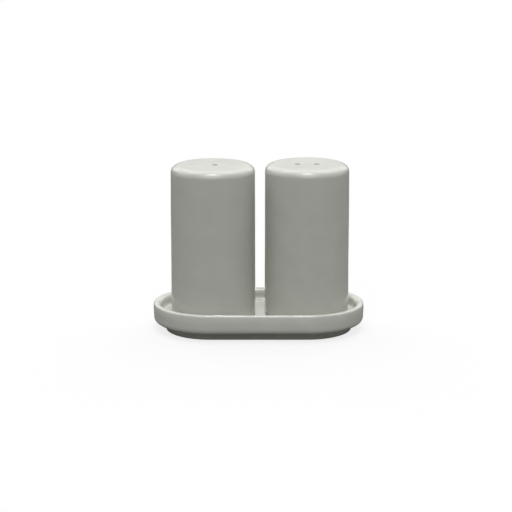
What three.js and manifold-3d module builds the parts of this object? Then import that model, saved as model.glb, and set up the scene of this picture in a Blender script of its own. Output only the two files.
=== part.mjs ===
// A salt shaker and a pepper shaker of glazed ceramic, standing on their own glazed tray.
// Millimetres, +Z up. The origin is the middle of the tray's foot ring, on the surface that the tray stands on.
// +X runs along the tray from the salt shaker to the pepper shaker, and -Y is the front.

import * as THREE from 'three';
import { mergeVertices } from 'three/addons/utils/BufferGeometryUtils.js';
import Module from 'manifold-3d';

// Running and resting clearance between neighbouring pieces.
const CLEARANCE = 0.3;

// The tray: a long dish with half-round ends, one piece with the foot ring under it.
const TRAY = {
  length: 113.7,
  width: 61.6,
  height: 14.9,
  rimThickness: 4.5,
  rimInset: 0.6,
  rimRoundOutside: 1.3,
  rimRoundInside: 2.5,
  dishDepth: 6.1,
  dishFillet: 2.4,
  bellyHeight: 8.6,
  wallBottom: 4.3,
  wallBottomInset: 0.7,
  wallBottomRound: 2.2,
  footInset: 6.3,
  footWidth: 3.0,
  footDraft: 0.4,
  footRound: 0.6,
  recessHeight: 5.0,
};

// The shaker: a closed cylinder, filled through a hole in its recessed base.
const SHAKER = {
  height: 81.2,
  topRadius: 22.45,
  baseRadius: 22.65,
  wall: 3.2,
  shoulderRound: 4.0,
  innerRound: 2.4,
  baseRound: 0.5,
  recessRadius: 18.9,
  recessHeight: 3.0,
  fillHoleRadius: 10.5,
};

// The pour holes through the shaker's top: one for salt, pierced a little off the middle, and two side by side
// for pepper.
const POUR = {
  holeRadius: 1.5,
  saltOffset: 1.1,
  pepperSpacing: 10.3,
};

// The stopper: a soft hollow plug with a flange, pushed into the fill hole from below.
const STOPPER = {
  flangeRadius: 14.0,
  flangeThickness: 1.5,
  plugLength: 6.3,
  plugRound: 0.9,
  hollowRadius: 7.4,
  skin: 1.8,
  flangeRound: 0.4,
};

// Where each shaker stands on the tray, as it is set down by hand.
const SALT_PLACE = { x: -24.4, y: -1.5 };
const PEPPER_PLACE = { x: 25.9, y: 0.7 };

// How finely the round surfaces are cut.
// The tray's count isn't a multiple of four, so that no corner of its ends lies on the Y axis.
const SEGMENTS = { tray: 66, shaker: 48, stopper: 40, pourHole: 12 };
const ROUND_STEP = Math.PI / 6;
const FIRST_ANGLE = Math.PI / 2;

const glaze = new THREE.MeshStandardMaterial({ color: 0xb4b5ad, roughness: 0.22, metalness: 0 });
const silicone = new THREE.MeshStandardMaterial({ color: 0xd9d8d0, roughness: 0.6, metalness: 0 });

const wasm = await Module();
wasm.setup();

// An outline of straight runs whose corners [radius, height, round] are rounded by an arc of that radius.
function roundedOutline(corners) {
  const points = [];
  corners.forEach(([radius, height, round = 0], index) => {
    const corner = new THREE.Vector2(radius, height);
    if (round === 0) {
      points.push(corner);
      return;
    }
    const before = new THREE.Vector2(...corners[index - 1]).sub(corner).normalize();
    const after = new THREE.Vector2(...corners[index + 1]).sub(corner).normalize();
    const halfAngle = Math.acos(before.dot(after)) / 2;
    const middle = before.clone().add(after).normalize();
    const centre = corner.clone().addScaledVector(middle, round / Math.sin(halfAngle));
    const start = corner.clone().addScaledVector(before, round / Math.tan(halfAngle)).sub(centre);
    const turn = (Math.PI - 2 * halfAngle) * Math.sign(before.cross(after)) * -1;
    const steps = Math.max(2, Math.ceil(Math.abs(turn) / ROUND_STEP));
    for (let step = 0; step <= steps; step += 1) {
      const spoke = start.clone().rotateAround(new THREE.Vector2(), (turn * step) / steps);
      points.push(spoke.add(centre));
    }
  });
  return points;
}

// A solid turned about +Z, from +X round, of an outline that starts and ends on the axis.
function turned(corners, segments) {
  const geometry = new THREE.LatheGeometry(roundedOutline(corners), segments, FIRST_ANGLE);
  return geometry.rotateX(Math.PI / 2);
}

// The tray's outline, as a distance from the middle of a half-round end, and a height.
function trayGeometry() {
  const outer = TRAY.width / 2;
  const inner = outer - TRAY.rimThickness;
  const floor = TRAY.height - TRAY.dishDepth;
  const footOuter = outer - TRAY.footInset;
  const footInner = footOuter - TRAY.footWidth;
  const geometry = turned([
    [0, TRAY.recessHeight],
    [footInner - TRAY.footDraft, TRAY.recessHeight],
    [footInner, 0, TRAY.footRound],
    [footOuter, 0, TRAY.footRound],
    [footOuter + TRAY.footDraft, TRAY.wallBottom],
    [outer - TRAY.wallBottomInset, TRAY.wallBottom, TRAY.wallBottomRound],
    [outer, TRAY.bellyHeight],
    [outer - TRAY.rimInset, TRAY.height, TRAY.rimRoundOutside],
    [inner, TRAY.height, TRAY.rimRoundInside],
    [inner, floor, TRAY.dishFillet],
    [0, floor],
  ], SEGMENTS.tray);
  stretchAlongX(geometry, (TRAY.length - TRAY.width) / 2);
  return geometry;
}

// Moves the two halves of a turned solid apart, which makes its round plan one with straight sides.
function stretchAlongX(geometry, shift) {
  const position = geometry.attributes.position;
  const segments = geometry.parameters.segments;
  const rows = geometry.parameters.points.length;
  for (let index = 0; index < position.count; index += 1) {
    const angle = FIRST_ANGLE + (2 * Math.PI * Math.floor(index / rows)) / segments;
    const side = Math.sign(Math.sin(angle));
    position.setX(index, position.getX(index) + side * shift);
  }
}

function shakerGeometry(pourHoles) {
  const top = SHAKER.height;
  const inner = SHAKER.topRadius - SHAKER.wall;
  const baseTop = SHAKER.recessHeight + SHAKER.wall;
  const body = turned([
    [0, top - SHAKER.wall],
    [inner, top - SHAKER.wall, SHAKER.innerRound],
    [inner, baseTop],
    [SHAKER.fillHoleRadius, baseTop],
    [SHAKER.fillHoleRadius, SHAKER.recessHeight],
    [SHAKER.recessRadius, SHAKER.recessHeight],
    [SHAKER.recessRadius, 0],
    [SHAKER.baseRadius, 0, SHAKER.baseRound],
    [SHAKER.topRadius, top, SHAKER.shoulderRound],
    [0, top],
  ], SEGMENTS.shaker);
  return pourHoles.reduce(
    (geometry, x) => cut(geometry, pourHoleCutter(x)),
    body,
  );
}

// A pin through the shaker's top, at a distance along X from its middle.
function pourHoleCutter(x) {
  const length = SHAKER.wall * 2;
  const pin = new THREE.CylinderGeometry(POUR.holeRadius, POUR.holeRadius, length, SEGMENTS.pourHole);
  return pin.rotateX(Math.PI / 2).translate(x, 0, SHAKER.height - SHAKER.wall / 2);
}

function stopperGeometry() {
  const plugRadius = SHAKER.fillHoleRadius - CLEARANCE;
  const flangeTop = SHAKER.recessHeight - CLEARANCE;
  const flangeBottom = flangeTop - STOPPER.flangeThickness;
  const plugTop = flangeTop + STOPPER.plugLength;
  return turned([
    [0, plugTop - STOPPER.skin],
    [STOPPER.hollowRadius, plugTop - STOPPER.skin],
    [STOPPER.hollowRadius, flangeBottom],
    [STOPPER.flangeRadius, flangeBottom, STOPPER.flangeRound],
    [STOPPER.flangeRadius, flangeTop],
    [plugRadius, flangeTop],
    [plugRadius, plugTop, STOPPER.plugRound],
    [0, plugTop],
  ], SEGMENTS.stopper);
}

// A closed three.js geometry as a solid that can be cut.
function toSolid(geometry) {
  const bare = geometry.clone();
  bare.deleteAttribute('normal');
  bare.deleteAttribute('uv');
  const merged = mergeVertices(bare, 1e-4);
  const mesh = new wasm.Mesh({
    numProp: 3,
    vertProperties: new Float32Array(merged.attributes.position.array),
    triVerts: new Uint32Array(merged.index.array),
  });
  return new wasm.Manifold(mesh);
}

function cut(geometry, tool) {
  const mesh = toSolid(geometry).subtract(toSolid(tool)).getMesh();
  const result = new THREE.BufferGeometry();
  result.setAttribute('position', new THREE.BufferAttribute(mesh.vertProperties, mesh.numProp));
  result.setIndex(new THREE.BufferAttribute(mesh.triVerts, 1));
  result.computeVertexNormals();
  return result;
}

function piece(name, geometry, material) {
  const mesh = new THREE.Mesh(geometry, material);
  mesh.name = name;
  return mesh;
}

// One shaker with its stopper, standing on the floor of the tray's dish.
function shakerSet(name, pourHoles, place) {
  const set = new THREE.Group();
  set.add(piece(`${name}_shaker_body`, shakerGeometry(pourHoles), glaze));
  set.add(piece(`${name}_stopper`, stopperGeometry(), silicone));
  set.position.set(place.x, place.y, TRAY.height - TRAY.dishDepth + CLEARANCE);
  return set;
}

const group = new THREE.Group();
group.add(piece('tray', trayGeometry(), glaze));
group.add(shakerSet('salt', [POUR.saltOffset], SALT_PLACE));
group.add(shakerSet('pepper', [-POUR.pepperSpacing / 2, POUR.pepperSpacing / 2], PEPPER_PLACE));

export default group;
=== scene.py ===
"""Salt and pepper shakers on their tray: fine surfaces, materials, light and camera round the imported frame.

Metres, +Z up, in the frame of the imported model: +X runs along the tray, and -Y is the front.
"""

import math

import bmesh
import bpy
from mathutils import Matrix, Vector, geometry, noise


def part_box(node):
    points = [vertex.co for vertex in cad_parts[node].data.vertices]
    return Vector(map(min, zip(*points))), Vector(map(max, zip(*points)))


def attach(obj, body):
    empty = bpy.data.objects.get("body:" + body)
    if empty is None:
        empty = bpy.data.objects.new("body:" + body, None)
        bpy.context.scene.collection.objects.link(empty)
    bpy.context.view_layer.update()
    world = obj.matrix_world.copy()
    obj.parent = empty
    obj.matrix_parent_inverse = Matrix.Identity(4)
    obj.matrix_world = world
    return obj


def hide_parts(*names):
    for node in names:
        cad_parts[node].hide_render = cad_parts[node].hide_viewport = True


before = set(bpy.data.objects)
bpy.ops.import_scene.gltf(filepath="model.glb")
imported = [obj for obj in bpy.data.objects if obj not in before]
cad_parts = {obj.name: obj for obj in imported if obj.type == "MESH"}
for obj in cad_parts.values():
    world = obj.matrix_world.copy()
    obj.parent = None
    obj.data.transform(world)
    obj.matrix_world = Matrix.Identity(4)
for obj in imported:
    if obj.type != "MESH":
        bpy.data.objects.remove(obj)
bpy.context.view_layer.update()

MM = 0.001

# The tray's section. Its outer size comes from the frame. Insets are from the widest line of its wall.
RIM_THICKNESS = 4.5 * MM
RIM_INSET = 0.75 * MM
RIM_ROUND_OUTSIDE = 1.3 * MM
RIM_ROUND_INSIDE = 2.5 * MM
DISH_DEPTH = 6.1 * MM
DISH_FILLET = 2.4 * MM
WAIST_HEIGHT = 11.9 * MM
WAIST_INSET = 0.12 * MM
WAIST_ROUND = 17 * MM
BELLY_HEIGHT = 7.8 * MM
BELLY_ROUND = 12 * MM
WALL_BOTTOM = 4.3 * MM
WALL_BOTTOM_INSET = 0.2 * MM
WALL_BOTTOM_ROUND = 2.6 * MM
FOOT_INSET = 6.3 * MM
FOOT_WIDTH = 3.0 * MM
FOOT_DRAFT = 0.4 * MM
FOOT_FILLET = 0.9 * MM
RECESS_HEIGHT = 5.0 * MM

# How far the rim at the ends of the fired tray leans out, and how far the belly there is tucked in.
END_LEAN = 0.55 * MM
END_TUCK = 0.15 * MM

# The shaker's section. Its outer size and its place come from the frame.
SHAKER_WALL = 3.2 * MM
SHAKER_DRAFT = 0.2 * MM
SHOULDER_ROUND = 4.0 * MM
INNER_ROUND = 2.4 * MM
BASE_EDGE_INSET = 0.1 * MM
BASE_EDGE_RISE = 0.3 * MM
BASE_EDGE_ROUND = 0.5 * MM
BASE_RECESS_RADIUS = 18.9 * MM
BASE_RECESS_HEIGHT = 3.0 * MM
BASE_RECESS_DRAFT = 0.3 * MM
BASE_RECESS_FILLET = 1.2 * MM
FILL_HOLE_RADIUS = 10.5 * MM
FILL_HOLE_ROUND_INSIDE = 0.8 * MM
FILL_HOLE_ROUND_OUTSIDE = 0.6 * MM

# The pour holes: one for salt, a little off the middle, and two side by side for pepper.
POUR_HOLE_RADIUS = 1.5 * MM
POUR_HOLE_LIP = 0.2 * MM
POUR_HOLE_ROUND = 0.15 * MM
SALT_HOLE_OFFSET = 1.1 * MM
PEPPER_HOLE_SPACING = 10.3 * MM

# The glaze is a coat that stops in a rounded edge above the ground foot rings, where the clay is bare.
GLAZE_COAT = 0.2 * MM
GLAZE_LINE = 0.8 * MM
GLAZE_EDGE_ROUND = 0.12 * MM
GLAZE_CREASE_ROUND = 0.05 * MM
FOOT_EDGE_ROUND = 0.35 * MM

# How far a shaker's foot ring reaches below its CAD body, which stands clear of the dish.
SEAT = 0.27 * MM

# The stopper's section: a flange and a hollow plug, with gripping ribs outside and a sprue mark inside.
FLANGE_THICKNESS = 1.5 * MM
FLANGE_ROUND_BELOW = 0.6 * MM
FLANGE_ROUND_ABOVE = 0.35 * MM
PLUG_CLEARANCE = 0.3 * MM
PLUG_ROUND = 1.2 * MM
PLUG_SKIN = 1.8 * MM
RIB_RISES = (2.0 * MM, 4.0 * MM)
RIB_DEPTH = 0.45 * MM
RIB_HALF_WIDTH = 0.7 * MM
RIB_ROUND = 0.35 * MM
RIB_FILLET = 0.3 * MM
HOLLOW_RADIUS = 7.4 * MM
HOLLOW_DRAFT = 0.3 * MM
HOLLOW_FILLET = 0.8 * MM
HOLLOW_ROUND = 0.5 * MM
SPRUE_RADIUS = 0.8 * MM
SPRUE_DRAFT = 0.2 * MM
SPRUE_LENGTH = 0.5 * MM
SPRUE_ROUND = 0.25 * MM
SPRUE_FILLET = 0.2 * MM

# How far the fired surfaces wander, and the lengths of their long waves and of the ripple on them.
FIRED_UNEVENNESS = 0.09 * MM
LONG_WAVE = 26 * MM
RIPPLE = 7 * MM
RIPPLE_SHARE = 0.25

# How finely the surfaces are cut: the steps along an outline, the counts round a plan, and the spacing of
# the points on a flat disc.
ARC_STEP = math.radians(7)
RUN_STEP = 2.0 * MM
ROUND_COUNT = 144
TRAY_END_COUNT = 72
STOPPER_COUNT = 96
HOLE_COUNT = 32
TOP_SPACING = 1.6 * MM
LINING_SPACING = 3.0 * MM

# A disc ends this far short of the arc round it, and has rings of points at these shares of a hole's radius.
DISC_MARGIN = 0.1 * MM
RINGS_ROUND_HOLE = (1.25, 1.6, 2.1)
# A face whose middle lies within this share of a hole's radius would fill the hole.
HOLE_FILL_SHARE = 0.99

# Two points nearer than this are one, in a flat disc and in a whole mesh, and a shorter edge is dissolved.
DISC_WELD = 1e-7
MESH_WELD = 0.004 * MM
SHORTEST_EDGE = 0.001 * MM


# ---------------------------------------------------------------- outlines and meshes


def rounded_outline(corners):
    """Points of an outline of straight runs. Its corners (radius, height, round) are arcs of that radius."""
    stretches = []
    for index, (radius, height, *rest) in enumerate(corners):
        corner = Vector((radius, height))
        bend = rest[0] if rest else 0
        if bend == 0:
            stretches.append([corner])
            continue
        before = (Vector(corners[index - 1][:2]) - corner).normalized()
        after = (Vector(corners[index + 1][:2]) - corner).normalized()
        half = before.angle(after) / 2
        centre = corner + (before + after).normalized() * (bend / math.sin(half))
        start = corner + before * (bend / math.tan(half)) - centre
        end = corner + after * (bend / math.tan(half)) - centre
        turn = start.angle(end)
        steps = max(2, math.ceil(turn / ARC_STEP))
        side = (end - start * (start.dot(end) / start.length_squared)).normalized() * bend
        angles = [turn * step / steps for step in range(steps + 1)]
        stretches.append([centre + start * math.cos(a) + side * math.sin(a) for a in angles])
    points = []
    for before, after in zip(stretches, stretches[1:]):
        points += before
        run = after[0] - before[-1]
        steps = max(1, math.ceil(run.length / RUN_STEP))
        points += [before[-1] + run * (step / steps) for step in range(1, steps)]
    return points + stretches[-1]


def round_plan(count, centre=(0, 0)):
    """The places round a circle of any radius, with one on the X axis."""
    x, y = centre
    spokes = [2 * math.pi * index / count for index in range(count)]

    def places(radius):
        return [Vector((x + radius * math.cos(a), y + radius * math.sin(a))) for a in spokes]

    return places


def long_plan(count, half_straight):
    """The places round a plan with half-round ends and straight sides."""
    steps = math.ceil(2 * half_straight / RUN_STEP)
    along = [half_straight * (1 - 2 * step / steps) for step in range(1, steps)]
    spokes = [math.pi * (index / count - 0.5) for index in range(count + 1)]

    def places(radius):
        right = [Vector((half_straight + radius * math.cos(a), radius * math.sin(a))) for a in spokes]
        left = [Vector((-place.x, -place.y)) for place in right]
        back = [Vector((x, radius)) for x in along]
        front = [Vector((-x, -radius)) for x in along]
        return right + back + left + front

    return places


def add_sweep(mesh, outline, plan):
    """Adds the surface that an outline of (radius, height) points makes round a plan."""
    rings = [[mesh.verts.new((*place, height)) for place in plan(radius)] for radius, height in outline]
    for lower, upper in zip(rings, rings[1:]):
        for index in range(len(lower)):
            following = (index + 1) % len(lower)
            mesh.faces.new((lower[index], lower[following], upper[following], upper[index]))


def add_drilled_disc(mesh, radius, height, holes, hole_radius, spacing):
    """Adds a flat round face with round holes in it, whose edges are round plans of the same radii."""
    loops = [round_plan(ROUND_COUNT)(radius)]
    loops += [round_plan(HOLE_COUNT, hole)(hole_radius) for hole in holes]
    points, edges = [], []
    for loop in loops:
        first = len(points)
        points += loop
        edges += [(first + index, first + (index + 1) % len(loop)) for index in range(len(loop))]
    for hole in holes:
        for growth in RINGS_ROUND_HOLE:
            points += round_plan(HOLE_COUNT, hole)(hole_radius * growth)
    clear = hole_radius * RINGS_ROUND_HOLE[-1] + spacing / 2
    rows = math.ceil(radius / spacing)
    for row in range(-rows, rows + 1):
        for column in range(-rows, rows + 1):
            point = Vector(((column + 0.5 * (row % 2)) * spacing, row * spacing * math.sqrt(0.75)))
            inside = point.length < radius - spacing / 2
            if inside and all((point - Vector(hole)).length > clear for hole in holes):
                points.append(point)
    flat, _, faces, *_ = geometry.delaunay_2d_cdt(points, edges, [], 1, DISC_WELD)
    verts = [mesh.verts.new((*point, height)) for point in flat]
    for face in faces:
        middle = sum((flat[index] for index in face), Vector((0, 0))) / len(face)
        if all((middle - Vector(hole)).length > hole_radius * HOLE_FILL_SHARE for hole in holes):
            mesh.faces.new([verts[index] for index in face])


def finish_mesh(mesh, name, place=(0, 0, 0), uneven=0):
    """Closes a bmesh into an object in its place, with the slight unevenness of fired clay."""
    bmesh.ops.remove_doubles(mesh, verts=mesh.verts, dist=MESH_WELD)
    bmesh.ops.dissolve_degenerate(mesh, edges=mesh.edges, dist=SHORTEST_EDGE)
    bmesh.ops.recalc_face_normals(mesh, faces=mesh.faces)
    mesh.normal_update()
    shifts = [(v, v.normal * uneven * unevenness(v.co + Vector(place))) for v in mesh.verts]
    lowest = min(v.co.z for v in mesh.verts)
    for v, shift in shifts:
        v.co += shift
        v.co.z = max(v.co.z, lowest)
    bmesh.ops.translate(mesh, verts=mesh.verts, vec=place)
    for face in mesh.faces:
        face.smooth = True
    data = bpy.data.meshes.new(name)
    mesh.to_mesh(data)
    mesh.free()
    piece = bpy.data.objects.new(name, data)
    bpy.context.scene.collection.objects.link(piece)
    return piece


def unevenness(point):
    """A smooth value from about -1 to 1, with long waves and a little ripple."""
    return noise.noise(point / LONG_WAVE) + RIPPLE_SHARE * noise.noise(point / RIPPLE)


# ---------------------------------------------------------------- pieces


def foot_ring(inner, outer, bottom, line):
    """The corners of a foot ring, from inside to outside: glaze down to the line, then bare clay."""
    return [
        (inner, line, GLAZE_EDGE_ROUND),
        (inner + GLAZE_COAT, line, GLAZE_CREASE_ROUND),
        (inner + GLAZE_COAT, bottom, FOOT_EDGE_ROUND),
        (outer - GLAZE_COAT, bottom, FOOT_EDGE_ROUND),
        (outer - GLAZE_COAT, line, GLAZE_CREASE_ROUND),
        (outer, line, GLAZE_EDGE_ROUND),
    ]


def make_tray():
    """The tray: its section goes round a plan with half-round ends, which then lean out a little."""
    low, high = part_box("tray")
    outer = (high.y - low.y) / 2
    inner = outer - RIM_THICKNESS
    floor = high.z - DISH_DEPTH
    foot_outer = outer - FOOT_INSET
    foot_inner = foot_outer - FOOT_WIDTH
    outline = rounded_outline([
        (0, RECESS_HEIGHT),
        (foot_inner - FOOT_DRAFT, RECESS_HEIGHT, FOOT_FILLET),
        *foot_ring(foot_inner, foot_outer, low.z, GLAZE_LINE),
        (foot_outer + FOOT_DRAFT, WALL_BOTTOM, FOOT_FILLET),
        (outer - WALL_BOTTOM_INSET, WALL_BOTTOM, WALL_BOTTOM_ROUND),
        (outer, BELLY_HEIGHT, BELLY_ROUND),
        (outer - WAIST_INSET, WAIST_HEIGHT, WAIST_ROUND),
        (outer - RIM_INSET, high.z, RIM_ROUND_OUTSIDE),
        (inner, high.z, RIM_ROUND_INSIDE),
        (inner, floor, DISH_FILLET),
        (0, floor),
    ])
    half_straight = (high.x - low.x) / 2 - outer
    mesh = bmesh.new()
    add_sweep(mesh, outline, long_plan(TRAY_END_COUNT, half_straight))
    for v in mesh.verts:
        end = smooth_step(abs(v.co.x), half_straight, high.x - RIM_THICKNESS)
        up = smooth_step(v.co.z, BELLY_HEIGHT, high.z)
        v.co.x += math.copysign(end, v.co.x) * (END_LEAN * up - END_TUCK)
    return finish_mesh(mesh, "glazed_tray", uneven=FIRED_UNEVENNESS)


def smooth_step(value, start, end):
    """0 up to start, 1 from end on, and a smooth rise between them."""
    share = min(max((value - start) / (end - start), 0), 1)
    return share * share * (3 - 2 * share)


def make_shaker(node, name, holes):
    """A shaker body: turned walls, and a flat top and its lining with the pour holes drilled in them."""
    low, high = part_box(node)
    middle = (low + high) / 2
    height = high.z - low.z
    base = (high.x - low.x) / 2
    top = base - SHAKER_DRAFT
    inner = top - SHAKER_WALL
    base_top = BASE_RECESS_HEIGHT + SHAKER_WALL
    lining = height - SHAKER_WALL
    walls = rounded_outline([
        (inner - INNER_ROUND - DISC_MARGIN, lining),
        (inner, lining, INNER_ROUND),
        (inner, base_top, INNER_ROUND),
        (FILL_HOLE_RADIUS, base_top, FILL_HOLE_ROUND_INSIDE),
        (FILL_HOLE_RADIUS, BASE_RECESS_HEIGHT, FILL_HOLE_ROUND_OUTSIDE),
        (BASE_RECESS_RADIUS - BASE_RECESS_DRAFT, BASE_RECESS_HEIGHT, BASE_RECESS_FILLET),
        *foot_ring(BASE_RECESS_RADIUS, base - BASE_EDGE_INSET, -SEAT, GLAZE_LINE - SEAT),
        (base, GLAZE_LINE + BASE_EDGE_RISE, BASE_EDGE_ROUND),
        (top, height, SHOULDER_ROUND),
        (top - SHOULDER_ROUND - DISC_MARGIN, height),
    ])
    mesh = bmesh.new()
    add_sweep(mesh, walls, round_plan(ROUND_COUNT))
    lip = POUR_HOLE_RADIUS + POUR_HOLE_LIP
    add_drilled_disc(mesh, walls[-1].x, height, holes, lip, TOP_SPACING)
    add_drilled_disc(mesh, walls[0].x, lining, holes, lip, LINING_SPACING)
    bore = rounded_outline([
        (lip, lining),
        (POUR_HOLE_RADIUS, lining, POUR_HOLE_ROUND),
        (POUR_HOLE_RADIUS, height, POUR_HOLE_ROUND),
        (lip, height),
    ])
    for hole in holes:
        add_sweep(mesh, bore, round_plan(HOLE_COUNT, hole))
    return finish_mesh(mesh, name, (middle.x, middle.y, low.z), uneven=FIRED_UNEVENNESS)


def make_stopper(node, name):
    """A moulded plug: a flange, a plug with gripping ribs round it, and a hollow with a sprue mark in it."""
    low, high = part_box(node)
    middle = (low + high) / 2
    height = high.z - low.z
    flange = (high.x - low.x) / 2
    plug = FILL_HOLE_RADIUS - PLUG_CLEARANCE
    core = plug - RIB_DEPTH
    ceiling = height - PLUG_SKIN
    ribs = []
    for rise in RIB_RISES:
        rib = FLANGE_THICKNESS + rise
        ribs += [
            (core, rib - RIB_HALF_WIDTH, RIB_FILLET),
            (plug, rib, RIB_ROUND),
            (core, rib + RIB_HALF_WIDTH, RIB_FILLET),
        ]
    outline = rounded_outline([
        (0, ceiling - SPRUE_LENGTH),
        (SPRUE_RADIUS, ceiling - SPRUE_LENGTH, SPRUE_ROUND),
        (SPRUE_RADIUS + SPRUE_DRAFT, ceiling, SPRUE_FILLET),
        (HOLLOW_RADIUS - HOLLOW_DRAFT, ceiling, HOLLOW_FILLET),
        (HOLLOW_RADIUS, 0, HOLLOW_ROUND),
        (flange, 0, FLANGE_ROUND_BELOW),
        (flange, FLANGE_THICKNESS, FLANGE_ROUND_ABOVE),
        (core, FLANGE_THICKNESS, RIB_FILLET),
        *ribs,
        (core, height, PLUG_ROUND),
        (0, height),
    ])
    mesh = bmesh.new()
    add_sweep(mesh, outline, round_plan(STOPPER_COUNT))
    return finish_mesh(mesh, name, (middle.x, middle.y, low.z))


# ---------------------------------------------------------------- materials


def new_material(name):
    """A material, its nodes, its links and its shader."""
    material = bpy.data.materials.new(name)
    material.use_nodes = True
    nodes = material.node_tree.nodes
    return material, nodes, material.node_tree.links, nodes["Principled BSDF"]


def noise_node(nodes, links, scale, detail, coordinates):
    """A noise over coordinates, as a value from 0 to 1."""
    node = nodes.new("ShaderNodeTexNoise")
    node.inputs["Scale"].default_value = scale
    node.inputs["Detail"].default_value = detail
    links.new(coordinates, node.inputs["Vector"])
    return node.outputs["Fac"]


def ramp_node(nodes, links, value, stops):
    """A colour ramp between two stops, each a (place, colour)."""
    node = nodes.new("ShaderNodeValToRGB")
    for element, (place, colour) in zip(node.color_ramp.elements, stops):
        element.position = place
        element.color = (*colour, 1)
    links.new(value, node.inputs["Fac"])
    return node.outputs["Color"]


def range_node(nodes, links, value, low, high):
    """A value from 0 to 1 as one from low to high."""
    node = nodes.new("ShaderNodeMapRange")
    node.inputs["To Min"].default_value = low
    node.inputs["To Max"].default_value = high
    links.new(value, node.inputs["Value"])
    return node.outputs["Result"]


# Colour ramps over a noise, as (place, colour).
SHAKER_GLAZE_COLOURS = [(0.3, (0.575, 0.58, 0.53)), (0.7, (0.61, 0.615, 0.56))]
# The tray's glaze is the shakers' glaze painted a little lighter: painted light that stands in for the
# brighter light in its dish.
TRAY_GLAZE_COLOURS_PAINTED_LIGHTER = [(0.3, (0.595, 0.6, 0.549)), (0.7, (0.63, 0.635, 0.58))]
CLAY_COLOURS = [(0.3, (0.5, 0.47, 0.4)), (0.7, (0.58, 0.55, 0.48))]
SILICONE_COLOURS = [(0.3, (0.6, 0.59, 0.54)), (0.7, (0.66, 0.65, 0.6))]

# Each noise's waves to the metre, and how many octaves it has.
GLAZE_MOTTLE = (90, 5)
GLAZE_RIPPLE = (260, 2)
CLAY_GRAIN = (2600, 3)
SILICONE_CLOUD = (220, 3)
SILICONE_GRAIN = (5200, 2)

# Roughness, as one value or as the least and the most; each bump's distance and strength; and the rest of
# the finish.
GLAZE_ROUGHNESS = (0.1, 0.16)
CLAY_ROUGHNESS = 0.85
SILICONE_ROUGHNESS = (0.42, 0.6)
CERAMIC_BUMP = (0.03 * MM, 0.25)
SILICONE_BUMP = (0.02 * MM, 0.3)
GLAZE_IOR = 1.55
SILICONE_IOR = 1.41
SILICONE_SCATTER = 0.3
SILICONE_SCATTER_RADIUS = (2.0 * MM, 1.8 * MM, 1.5 * MM)


def bump_node(nodes, links, height, bump):
    """The normal of a bump over a value. The bump is a (distance, strength)."""
    node = nodes.new("ShaderNodeBump")
    distance, strength = bump
    node.inputs["Distance"].default_value = distance
    node.inputs["Strength"].default_value = strength
    links.new(height, node.inputs["Height"])
    return node.outputs["Normal"]


def glaze_material(name, line, colours):
    """Satin-bright glaze with a faint mottle and ripple above a height, the line, and bare clay below it."""
    material, nodes, links, shader = new_material(name)
    place = nodes.new("ShaderNodeTexCoord").outputs["Object"]
    mottle = noise_node(nodes, links, *GLAZE_MOTTLE, place)
    grain = noise_node(nodes, links, *CLAY_GRAIN, place)
    ripple = noise_node(nodes, links, *GLAZE_RIPPLE, place)
    glaze = ramp_node(nodes, links, mottle, colours)
    clay = ramp_node(nodes, links, grain, CLAY_COLOURS)

    height = nodes.new("ShaderNodeSeparateXYZ")
    links.new(place, height.inputs[0])
    glazed = nodes.new("ShaderNodeMath")
    glazed.operation = "GREATER_THAN"
    glazed.inputs[1].default_value = line
    links.new(height.outputs["Z"], glazed.inputs[0])

    colour = nodes.new("ShaderNodeMix")
    colour.data_type = "RGBA"
    links.new(glazed.outputs[0], colour.inputs["Factor"])
    links.new(clay, colour.inputs["A"])
    links.new(glaze, colour.inputs["B"])
    links.new(colour.outputs["Result"], shader.inputs["Base Color"])

    satin = range_node(nodes, links, mottle, *GLAZE_ROUGHNESS)
    rough = nodes.new("ShaderNodeMix")
    links.new(glazed.outputs[0], rough.inputs["Factor"])
    rough.inputs["A"].default_value = CLAY_ROUGHNESS
    links.new(satin, rough.inputs["B"])
    links.new(rough.outputs["Result"], shader.inputs["Roughness"])

    relief = nodes.new("ShaderNodeMix")
    links.new(glazed.outputs[0], relief.inputs["Factor"])
    links.new(grain, relief.inputs["A"])
    links.new(ripple, relief.inputs["B"])
    links.new(bump_node(nodes, links, relief.outputs["Result"], CERAMIC_BUMP), shader.inputs["Normal"])
    shader.inputs["IOR"].default_value = GLAZE_IOR
    return material


def silicone_material():
    """Milky soft silicone with a fine matt grain."""
    material, nodes, links, shader = new_material("silicone")
    place = nodes.new("ShaderNodeTexCoord").outputs["Object"]
    cloud = noise_node(nodes, links, *SILICONE_CLOUD, place)
    grain = noise_node(nodes, links, *SILICONE_GRAIN, place)
    links.new(ramp_node(nodes, links, cloud, SILICONE_COLOURS), shader.inputs["Base Color"])
    links.new(range_node(nodes, links, grain, *SILICONE_ROUGHNESS), shader.inputs["Roughness"])
    links.new(bump_node(nodes, links, grain, SILICONE_BUMP), shader.inputs["Normal"])
    shader.inputs["Subsurface Weight"].default_value = SILICONE_SCATTER
    shader.inputs["Subsurface Radius"].default_value = SILICONE_SCATTER_RADIUS
    shader.inputs["Subsurface Scale"].default_value = 1.0
    shader.inputs["IOR"].default_value = SILICONE_IOR
    return material


# ---------------------------------------------------------------- stage, light and camera


# The floor's half width, its cells along each side, and how far it lies below the foot ring, so that the two
# faces don't flicker.
FLOOR_REACH = 8
FLOOR_CELLS = 8
FLOOR_GAP = 0.02 * MM

# The floor is grey to the object. The camera sees a paler one that glows, so that it is near white.
FLOOR_COLOUR = (0.19, 0.19, 0.185, 1)
PALE_FLOOR_COLOUR = (0.15, 0.15, 0.15, 1)
PALE_FLOOR_GLOW = 0.796

WORLD_COLOUR = (0.02, 0.02, 0.02, 1)
BACKDROP_COLOUR = (1, 1, 1, 1)

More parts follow.
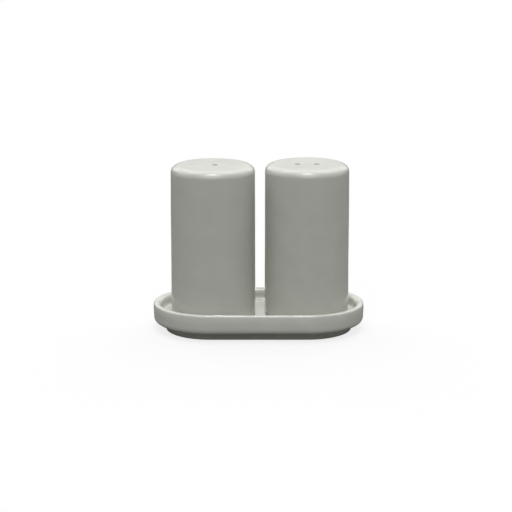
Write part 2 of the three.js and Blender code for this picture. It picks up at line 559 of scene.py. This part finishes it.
# The studio's round softboxes: the azimuth from the front, towards +X, the elevation and the angle that each
# fills, in degrees, and its light in W/m2. One that stands to a side has a twin on the other side.
SOFTBOXES = {
    "key": (0, 80, 17, 0.75),
    "overhead": (180, 84, 70, 1.05),
    "front": (0, 50, 50, 1.02),
    "low_front": (0, 25, 50, 0.26),
    "wide_back": (180, 45, 90, 0.69),
    "back": (180, 30, 36, 0.15),
    "low_back": (150, 18, 24, 0.145),
    "back_corner": (130, 45, 50, 0.55),
    "side": (90, 10, 50, 0.23),
}

# The camera's place, how far it looks down, in radians, and its lens and sensor, in millimetres.
CAMERA_PLACE = (-1.4 * MM, -1.0, 286.5 * MM)
CAMERA_PITCH = 0.2417
CAMERA_LENS = 134.4
CAMERA_SENSOR = 36


def make_floor():
    """A grey floor, which the camera sees as a near-white one."""
    mesh = bmesh.new()
    bmesh.ops.create_grid(mesh, x_segments=FLOOR_CELLS, y_segments=FLOOR_CELLS, size=FLOOR_REACH)
    data = bpy.data.meshes.new("floor")
    mesh.to_mesh(data)
    mesh.free()
    floor = bpy.data.objects.new("floor", data)
    bpy.context.scene.collection.objects.link(floor)
    floor.location.z = -FLOOR_GAP
    material, nodes, links, shader = new_material("floor")
    shader.inputs["Base Color"].default_value = FLOOR_COLOUR
    shader.inputs["Roughness"].default_value = 1.0
    shader.inputs["Specular IOR Level"].default_value = 0.0
    pale = nodes.new("ShaderNodeBsdfDiffuse")
    pale.inputs["Color"].default_value = PALE_FLOOR_COLOUR
    glow = nodes.new("ShaderNodeEmission")
    glow.inputs["Strength"].default_value = PALE_FLOOR_GLOW
    seen = nodes.new("ShaderNodeAddShader")
    links.new(pale.outputs[0], seen.inputs[0])
    links.new(glow.outputs[0], seen.inputs[1])
    view = nodes.new("ShaderNodeMixShader")
    links.new(nodes.new("ShaderNodeLightPath").outputs["Is Camera Ray"], view.inputs[0])
    links.new(shader.outputs[0], view.inputs[1])
    links.new(seen.outputs[0], view.inputs[2])
    links.new(view.outputs[0], nodes["Material Output"].inputs["Surface"])
    data.materials.append(material)


def make_softbox(name, azimuth, elevation, angle, strength):
    """A round softbox far away, which is a sun lamp with a wide disc."""
    light = bpy.data.lights.new(name, "SUN")
    light.energy = strength
    light.angle = math.radians(angle)
    lamp = bpy.data.objects.new(name, light)
    tilt = math.radians(elevation)
    turn = math.radians(azimuth)
    towards = Vector((math.sin(turn) * math.cos(tilt), -math.cos(turn) * math.cos(tilt), math.sin(tilt)))
    lamp.rotation_euler = (-towards).to_track_quat("-Z", "Y").to_euler()
    bpy.context.scene.collection.objects.link(lamp)


def make_lights():
    """The softboxes, with a twin for each one that stands to a side."""
    for name, (azimuth, *rest) in SOFTBOXES.items():
        make_softbox(name, azimuth, *rest)
        if azimuth % 180:
            make_softbox(f"{name}_twin", -azimuth, *rest)


def make_world():
    """A dim even world, which the camera sees as a white backdrop."""
    world = bpy.data.worlds.new("world")
    bpy.context.scene.world = world
    world.use_nodes = True
    nodes, links = world.node_tree.nodes, world.node_tree.links
    seen = nodes.new("ShaderNodeMix")
    seen.data_type = "RGBA"
    seen.inputs["A"].default_value = WORLD_COLOUR
    seen.inputs["B"].default_value = BACKDROP_COLOUR
    links.new(nodes.new("ShaderNodeLightPath").outputs["Is Camera Ray"], seen.inputs["Factor"])
    links.new(seen.outputs["Result"], nodes["Background"].inputs["Color"])


def make_camera():
    """A long lens in front, looking down a little."""
    data = bpy.data.cameras.new("camera")
    data.sensor_width = CAMERA_SENSOR
    data.lens = CAMERA_LENS
    camera = bpy.data.objects.new("camera", data)
    camera.location = CAMERA_PLACE
    camera.rotation_euler = (math.pi / 2 - CAMERA_PITCH, 0, 0)
    bpy.context.scene.collection.objects.link(camera)
    bpy.context.scene.camera = camera


# ---------------------------------------------------------------- the scene


def place_piece(piece, node, body, material):
    """Puts a piece in the place of a CAD node, riding on its body, with its material and slot."""
    piece.data.materials.append(material)
    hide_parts(node)
    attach(piece, body)


make_camera()
make_world()
make_floor()
make_lights()

# The heights above which glaze covers the clay, on the tray and on the standing shakers.
tray_line = GLAZE_LINE + GLAZE_CREASE_ROUND
shaker_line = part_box("salt_shaker_body")[0].z - SEAT + tray_line
# The tray's glaze is painted a little lighter than the shakers', as painted light in its dish.
tray_glaze = glaze_material("tray_glaze", tray_line, TRAY_GLAZE_COLOURS_PAINTED_LIGHTER)
shaker_glaze = glaze_material("shaker_glaze", shaker_line, SHAKER_GLAZE_COLOURS)
silicone = silicone_material()
place_piece(make_tray(), "tray", "tray", tray_glaze)

pour_holes = {
    "salt": [(SALT_HOLE_OFFSET, 0)],
    "pepper": [(-PEPPER_HOLE_SPACING / 2, 0), (PEPPER_HOLE_SPACING / 2, 0)],
}
for spice, holes in pour_holes.items():
    body = make_shaker(f"{spice}_shaker_body", f"glazed_{spice}_shaker", holes)
    place_piece(body, f"{spice}_shaker_body", f"{spice}_shaker", shaker_glaze)
    plug = make_stopper(f"{spice}_stopper", f"moulded_{spice}_stopper")
    place_piece(plug, f"{spice}_stopper", f"{spice}_stopper", silicone)

bpy.context.scene.view_settings.view_transform = "Standard"
